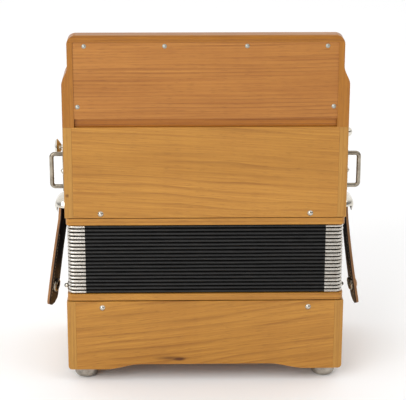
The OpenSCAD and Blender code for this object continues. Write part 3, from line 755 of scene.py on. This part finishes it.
STRAP_FLARE = {"left": math.radians(8.4), "right": math.radians(8.2)}
STRAP_WIDTH = 25.0 * MM
STRAP_THICKNESS = 3.5 * MM
STRAP_TIP = 8.0 * MM
STRAP_STEPS = 34
STRAP_IN_HOLDER = ((0.9, 16), (0.8, 11), (0.5, 6), (0.15, 2.5))
LINING = -0.35
STRAP_BOW = {"left": -0.5 * MM, "right": 0.8 * MM}
STRAP_TWIST = {"left": (15, 17), "right": (4, 7)}
STITCHED_RUN = slice(9, -4)
STITCH_MARGIN = 3 * MM
STITCH_REACH = 0.33
STITCH_SHAPE = ((-1, 0.12), (-0.6, 0.30), (0, 0.36), (0.6, 0.30), (1, 0.12))
SNAP_DISTANCE = 78.0 * MM
SNAP_CAP = ((0.0, 2.9), (2.0, 2.8), (4.0, 2.3), (5.4, 1.4), (6.1, 0.5), (6.2, 0.0),
            (6.0, -0.2), (0.0, -0.2))
SNAP_RING = ((4.6, 2.6), (5.1, 3.0), (6.1, 2.9), (6.8, 2.2), (7.1, 1.0), (7.2, 0.2),
             (6.8, -0.2), (4.6, -0.2), (4.4, 1.2), (4.6, 2.6))
HAND_STRAP_THICKNESS = 2.5 * MM
HAND_STRAP_TAB = 18 * MM
HAND_STRAP_FLAT = 6 * MM
HAND_STRAP_END_GAP = 0.3 * MM
HAND_STRAP_STEPS = 40


def strap_section(half_width, thickness, edge=0.7 * MM):
    """A flat strap's outline. Its cut edges have a point at LINING of half the thickness,
    where the dark lining ends and the tan leather begins."""
    half = thickness / 2
    split = half * LINING
    corners = [(-half_width, -half), (half_width, -half), (half_width, split),
               (half_width, half), (-half_width, half), (-half_width, split)]
    return rounded(corners, edge, 3)


def strap_faces(section, rings):
    """1 for the faces on the tan part of a strap's cut edges, and 0 for the dark ones."""
    widest = max(u for u, v in section)
    ring = []
    for k, (u, v) in enumerate(section):
        next_u, next_v = section[(k + 1) % len(section)]
        on_edge = min(abs(u), abs(next_u)) > widest - 0.5 * MM
        ring.append(int(on_edge and (v + next_v) / 2 > LINING * STRAP_THICKNESS / 2))
    return ring * (rings - 1) + [1, 1]


def stitches(path, offset, across, height, material_number, gap=3.6 * MM):
    """Short raised stitches along a path, at one distance from its middle."""
    parts = []
    travelled, next_at = 0.0, gap
    sides = across if isinstance(across, list) else [across] * len(path)
    for a, b, side in zip(path, path[1:], sides):
        step = (b - a).length
        while travelled + step >= next_at:
            centre = a.lerp(b, (next_at - travelled) / step)
            tangent = (b - a).normalized()
            normal = side.cross(tangent).normalized()
            ends = [centre + side * offset + normal * height + tangent * s * gap * STITCH_REACH
                    for s, _ in STITCH_SHAPE]
            sections = [[(radius * MM * math.cos(t), radius * MM * math.sin(t)) for t in
                         (2 * math.pi * k / 8 for k in range(8))] for _, radius in STITCH_SHAPE]
            verts, faces = sweep(ends, sections, side)
            parts.append((verts, faces, material_number))
            next_at += gap
        travelled += step
    return parts


def make_bellows_strap(made, side, sign):
    """A thick leather strap that hangs from its holder and stands away from the box."""
    body = f"bellows_strap_{side}_body"
    hinge = PIVOTS[body]
    flare = STRAP_FLARE[side]
    away = Vector((sign * math.sin(flare), 0, -math.cos(flare)))
    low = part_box(f"bellows_strap_{side}")[0].z
    length = (hinge.z - low) / math.cos(flare) - 0.2 * MM
    top_twist, tip_twist = STRAP_TWIST[side]

    def middle(share):
        bow = -4 * STRAP_BOW[side] * share * (1 - share)
        return hinge + away * length * share + Vector((sign * bow, 0, 0))

    def twist(share):
        return math.radians(top_twist + (tip_twist - top_twist) * share)

    path = [hinge + Vector((-sign * inward * MM, 0, up * MM))
            for inward, up in STRAP_IN_HOLDER]
    path += [middle(k / STRAP_STEPS) for k in range(STRAP_STEPS + 1)]
    across, sections = [], []
    for point in path:
        turn = twist(max(0.0, (hinge.z - point.z) / length))
        across.append(Vector((math.sin(turn), -sign * math.cos(turn), 0)))
        left = (path[-1] - point).length
        half = STRAP_WIDTH / 2
        if left < STRAP_TIP:
            half -= STRAP_TIP - math.sqrt(max(0.0, STRAP_TIP ** 2 - (STRAP_TIP - left) ** 2))
        sections.append(strap_section(max(half, 2 * MM), STRAP_THICKNESS))
    verts, faces = sweep(path, sections, across)
    numbers = strap_faces(sections[0], len(path))
    piece = mesh_piece(f"strap_{side}_leather", verts, faces,
                       [made["leather_dark"], made["leather_edge"]], numbers, 50)
    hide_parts(f"bellows_strap_{side}")
    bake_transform(piece)
    make_strap_stitches(made, side, path, across, body)
    share = SNAP_DISTANCE / length
    turn = Matrix.Rotation(sign * twist(share), 3, "Z")
    outward = turn @ Vector((-sign * away.z, 0, sign * away.x))
    make_snap(made, side, middle(share), outward.normalized(), body)


def make_strap_stitches(made, side, path, across, body):
    """A row of stitches near each edge of a bellows strap, on both faces."""
    run = path[STITCHED_RUN]
    across = across[STITCHED_RUN]
    half = STRAP_THICKNESS / 2
    parts = []
    for offset in (-STRAP_WIDTH / 2 + STITCH_MARGIN, STRAP_WIDTH / 2 - STITCH_MARGIN):
        for height in (-half, half):
            parts += stitches(run, offset, across, height, 0)
    verts, faces, _ = join_parts(parts)
    piece = mesh_piece(f"strap_{side}_stitches", verts, faces, [made["thread"]])
    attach(piece, body)


def make_snap(made, side, centre, outward, body):
    """A press stud: a domed cap outside, a socket ring inside."""
    turn = outward.to_track_quat("Z", "X").to_matrix().to_4x4()
    half = STRAP_THICKNESS / 2
    outer = Matrix.Translation(centre + outward * half) @ turn
    inner = Matrix.Translation(centre - outward * half) @ turn @ Matrix.Rotation(math.pi, 4, "X")
    parts = [(*lathe([(r * MM, h * MM) for r, h in SNAP_CAP], outer), 0),
             (*lathe([(r * MM, h * MM) for r, h in SNAP_RING], inner), 1)]
    verts, faces, numbers = join_parts(parts)
    # the snap ring's darker, browner nickel is partly painted reflection of the leather
    piece = mesh_piece(f"snap_{side}", verts, faces, [made["cap_brown"], made["nickel_aged_and_painted_reflection"]],
                       numbers)
    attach(piece, body)


def make_hand_strap(made):
    """The flat strap that sags under the bass end, stitched along both edges."""
    low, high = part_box("hand_strap")
    thickness = HAND_STRAP_THICKNESS
    half_span = high.x - HAND_STRAP_TAB
    sag = high.z - low.z - thickness
    radius = (half_span ** 2 + sag ** 2) / (2 * sag)
    tab_z = high.z - thickness / 2
    path = [Vector((-high.x + HAND_STRAP_END_GAP, 0, tab_z)),
            Vector((-high.x + HAND_STRAP_FLAT, 0, tab_z))]
    for k in range(-HAND_STRAP_STEPS, HAND_STRAP_STEPS + 1):
        x = half_span * k / HAND_STRAP_STEPS
        lift = radius - math.sqrt(radius ** 2 - x ** 2)
        path.append(Vector((x, 0, low.z + thickness / 2 + lift)))
    path += [Vector((high.x - HAND_STRAP_FLAT, 0, tab_z)),
             Vector((high.x - HAND_STRAP_END_GAP, 0, tab_z))]
    across = Vector((0, 1, 0))
    half_width = high.y
    sections = [strap_section(half_width, thickness - 0.1 * MM)] * len(path)
    verts, faces = sweep(path, sections, across)
    numbers = strap_faces(sections[0], len(path))
    piece = mesh_piece("hand_strap_leather", verts, faces,
                       [made["leather_dark"], made["leather_edge"]], numbers, 50)
    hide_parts("hand_strap")
    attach(piece, "bass")
    parts = []
    for offset in (-half_width + 4 * MM, half_width - 4 * MM):
        for height in (-thickness / 2, thickness / 2):
            parts += stitches(path[4:-4], offset, across, height, 0, 4.5 * MM)
    verts, faces, _ = join_parts(parts)
    thread = mesh_piece("hand_strap_stitches", verts, faces, [made["thread"]])
    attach(thread, "bass")


# --- Keys and grille cloth --------------------------------------------------------------

BUTTON_RADIUS = 6.0 * MM
LEVER_WIDTH = 2.4 * MM
ARM_HEIGHT = 5.0 * MM
HUB_RADIUS = 4.0 * MM
PALLET_SIZE = Vector((15.0, 27.0, 5.7)) * MM
LEATHER_THICKNESS = 1.6 * MM
AXLE_HOLE_RADIUS = 1.55 * MM
HUB_HALF = 2.5 * MM
HUB_EDGE = 0.3 * MM
BOARD_RISE, BOARD_RUN = 66.0, 46.0
ROW_ABOVE_LEVER = 9 * MM
TREBLE_LEVER_LENGTH = 55 * MM
LEVER_OVERHANG = 4 * MM
BUTTON_ABOVE_ROW = 5.9 * MM
TREBLE_PALLET_Y = 12.5 * MM
TREBLE_ARM_Y = 32 * MM
LOW_PALLET_LENGTH = 26 * MM
BUTTON_LENGTH = {"treble": 13.9 * MM, "low": 27.0 * MM}
BUTTON_TOP = ((0.0, 0.0), (3.2, 0.05), (4.6, 0.22), (4.9, 0.05), (5.35, 0.0), (5.8, -0.35),
              (6.0, -1.0))


def make_key(made, node, top, axis, button_length, lever_path, pallet_box, leather_up):
    """Replaces one key by its button, its lever with the hub, and its pallet."""
    body = node + "_body"
    turn = Vector(axis).to_track_quat("Z", "X").to_matrix().to_4x4()
    profile = [(r * MM, h * MM) for r, h in BUTTON_TOP]
    profile += [(BUTTON_RADIUS, 0.5 * MM - button_length),
                (BUTTON_RADIUS - 0.6 * MM, -button_length), (0.0, -button_length)]
    verts, faces = lathe(profile, Matrix.Translation(top) @ turn, 36)
    button = mesh_piece(f"{node}_button", verts, faces, [made["pearl"]])
    half_w, half_h = LEVER_WIDTH / 2, ARM_HEIGHT / 2
    section = rounded([(-half_w, -half_h), (half_w, -half_h), (half_w, half_h),
                       (-half_w, half_h)], 0.4 * MM, 2)
    lever_part = sweep(lever_path, [section] * len(lever_path), Vector((1, 0, 0)))
    hub_place = Matrix.Translation(PIVOTS[body]) @ Matrix.Rotation(math.pi / 2, 4, "Y")
    hub = [(AXLE_HOLE_RADIUS, -HUB_HALF), (HUB_RADIUS - HUB_EDGE, -HUB_HALF),
           (HUB_RADIUS, -HUB_HALF + HUB_EDGE), (HUB_RADIUS, HUB_HALF - HUB_EDGE),
           (HUB_RADIUS - HUB_EDGE, HUB_HALF), (AXLE_HOLE_RADIUS, HUB_HALF),
           (AXLE_HOLE_RADIUS, -HUB_HALF)]
    verts, faces, _ = join_parts([(*lever_part, 0), (*lathe(hub, hub_place, 28), 0)])
    lever = mesh_piece(f"{node}_lever", verts, faces, [made["steel"]])
    low, high = pallet_box
    split = high.z - LEATHER_THICKNESS if leather_up else low.z + LEATHER_THICKNESS
    lower = bar(low, Vector((high.x, high.y, split)), 0.3 * MM)
    upper = bar(Vector((low.x, low.y, split)), high, 0.3 * MM)
    verts, faces, numbers = join_parts([(*lower, int(not leather_up)),
                                        (*upper, int(leather_up))])
    pallet = mesh_piece(f"{node}_pallet", verts, faces, [made["spruce"], made["felt"]], numbers)
    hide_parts(node)
    for piece, slot in ((button, "pearl"), (lever, "steel"), (pallet, "spruce")):
        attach(piece, body)


def make_treble_keys(made):
    """Each button stands on the sloping board; its lever turns on the axle below it."""
    length = math.hypot(BOARD_RISE, BOARD_RUN)
    down_slope = Vector((0, BOARD_RUN, -BOARD_RISE)) / length
    outward = Vector((0, BOARD_RISE, BOARD_RUN)) / length
    count = sum(name.startswith("treble_key_") and name[11:].isdigit() for name in NODES)
    for i in range(1, count + 1):
        node = f"treble_key_{i}"
        pivot = PIVOTS[node + "_body"]
        row = pivot + ROW_ABOVE_LEVER * outward - TREBLE_LEVER_LENGTH * down_slope
        inner = row - ROW_ABOVE_LEVER * outward
        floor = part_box(node)[0].z
        pallet_low = Vector((pivot.x - PALLET_SIZE.x / 2, TREBLE_PALLET_Y, floor))
        arm_end = Vector((pivot.x, TREBLE_ARM_Y, floor + PALLET_SIZE.z))
        path = [inner - LEVER_OVERHANG * down_slope, inner, pivot, arm_end]
        make_key(made, node, row + BUTTON_ABOVE_ROW * outward, outward,
                 BUTTON_LENGTH["treble"], path, (pallet_low, pallet_low + PALLET_SIZE), False)


def make_low_keys(made):
    """The bass keys and the air key, whose buttons point down through the end plate."""
    names = sorted(n for n in NODES if n.startswith("bass_key_")) + ["air_key"]
    for node in names:
        pivot = PIVOTS[node + "_body"]
        low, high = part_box(node)
        bass = node != "air_key"
        button_y = high.y - BUTTON_RADIUS if bass else low.y + BUTTON_RADIUS
        size = Vector((PALLET_SIZE.x, LOW_PALLET_LENGTH, PALLET_SIZE.z))
        pallet_y = low.y if bass else high.y - size.y
        pallet_low = Vector((pivot.x - size.x / 2, pallet_y, high.z - size.z))
        top = Vector((pivot.x, button_y, low.z))
        arm_end = Vector((pivot.x, pallet_y + size.y / 2, pallet_low.z))
        path = [Vector((pivot.x, button_y, pivot.z)), pivot, arm_end]
        if not bass:
            path = path[::-1]
        make_key(made, node, top, (0, 0, -1), BUTTON_LENGTH["low"], path,
                 (pallet_low, pallet_low + size), True)


CLOTH_THICKNESS = 0.5 * MM
CLOTH_DROP = 0.7 * MM
CLOTH_RIPPLE = 0.04 * MM
CLOTH_COLUMNS, CLOTH_ROWS = 60, 20


def make_grille_cloth(made):
    """A thin woven sheet stretched behind the openings of the grille."""
    low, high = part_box("grille_cloth")
    half = high.x
    slope = math.atan2((high.z - low.z) - CLOTH_DROP, high.y - low.y)
    columns, rows = CLOTH_COLUMNS, CLOTH_ROWS
    verts = []
    for layer in (0, 1):
        for j in range(rows + 1):
            for i in range(columns + 1):
                x = -half + 2 * half * i / columns
                y = low.y + (high.y - low.y) * j / rows
                z = high.z - CLOTH_DROP - (y - low.y) * math.tan(slope)
                ripple = CLOTH_RIPPLE * noise.noise(Vector((x * 40, y * 40, 3)))
                z += layer * CLOTH_THICKNESS + ripple
                verts.append(Vector((x, y, z)))
    size = (rows + 1) * (columns + 1)
    faces = []
    for j in range(rows):
        for i in range(columns):
            a = j * (columns + 1) + i
            b, c, d = a + 1, a + columns + 2, a + columns + 1
            faces.append((a, d, c, b))
            faces.append((a + size, b + size, c + size, d + size))
    rim = list(range(columns + 1))
    rim += [j * (columns + 1) + columns for j in range(1, rows + 1)]
    rim += [rows * (columns + 1) + i for i in range(columns - 1, -1, -1)]
    rim += [j * (columns + 1) for j in range(rows - 1, 0, -1)]
    for k, a in enumerate(rim):
        b = rim[(k + 1) % len(rim)]
        faces.append((a, b, b + size, a + size))
    piece = mesh_piece("grille_cloth_weave", verts, faces, [made["grille_cloth"]])
    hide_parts("grille_cloth")
    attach(piece, "treble")


# --- Everything -------------------------------------------------------------------------

make_camera()
make_stage()
materials = make_materials()
dress_frame(materials)
make_bellows(materials)
make_bellows_corners(materials)
for strap_side, strap_sign in (("left", -1), ("right", 1)):
    make_bellows_strap(materials, strap_side, strap_sign)
make_hand_strap(materials)
make_treble_keys(materials)
make_low_keys(materials)
make_grille_cloth(materials)
